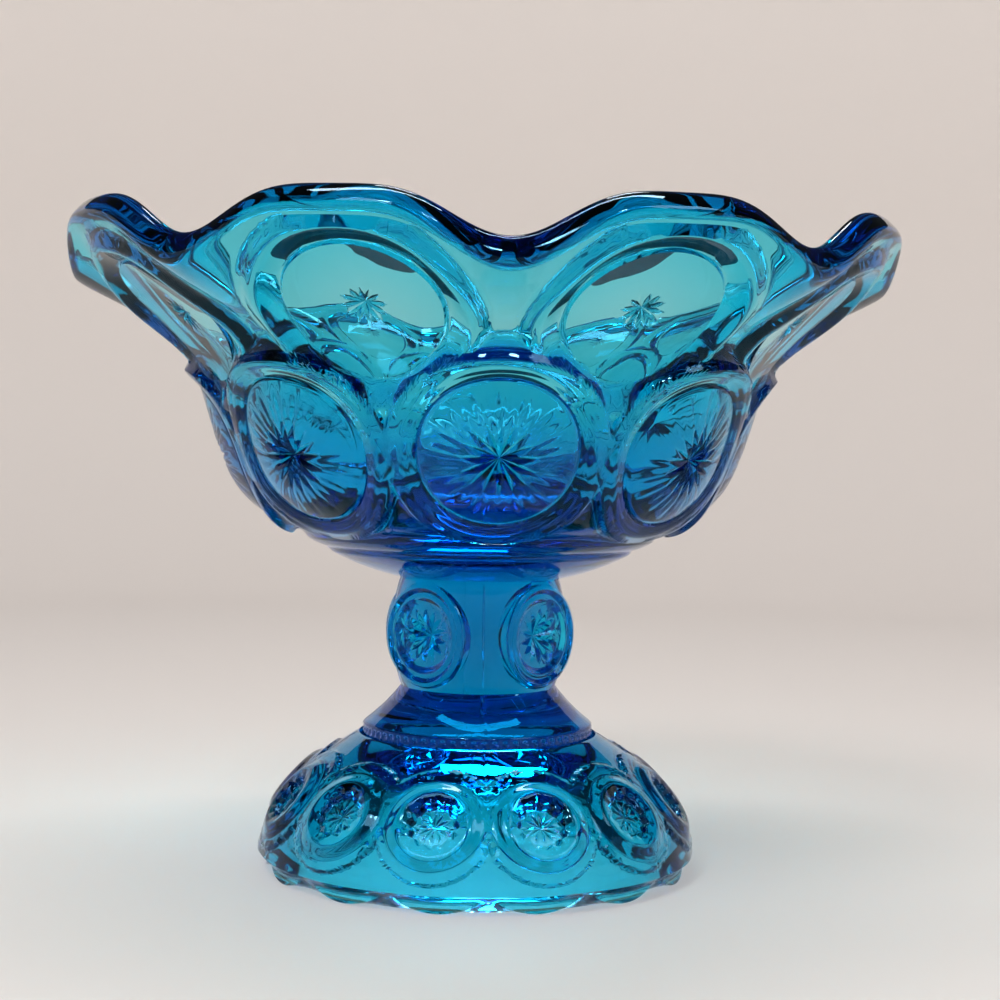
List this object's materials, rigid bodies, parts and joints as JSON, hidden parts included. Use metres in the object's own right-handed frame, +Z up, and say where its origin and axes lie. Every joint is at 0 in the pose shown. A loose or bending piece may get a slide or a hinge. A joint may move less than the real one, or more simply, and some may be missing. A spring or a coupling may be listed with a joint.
{
  "type": "footed glass bowl",
  "caption": "Footed pressed-glass bowl with a crimped, lobed rim, round star-centred medallions in relief, a solid knopped stem and a domed, scalloped foot.",
  "frame": {"origin": "centre of the flat ring that the foot rests on", "axes": "+Z up along the stem, -Y towards the front mould seam and rim valley, +X along the wider way across the slightly oval rim"},
  "size_m": [0.2016, 0.1904, 0.1602],
  "materials": {
    "blue_glass": "clear transparent glass, coloured through: pale aqua where thin, deep blue where thick, fire-polished gloss"
  },
  "bodies": {
    "root": {"bowl": "blue_glass", "bowl_plinth": "blue_glass", "stem_knop": "blue_glass", "foot_shoulder": "blue_glass", "foot": "blue_glass"}
  },
  "joints": []
}
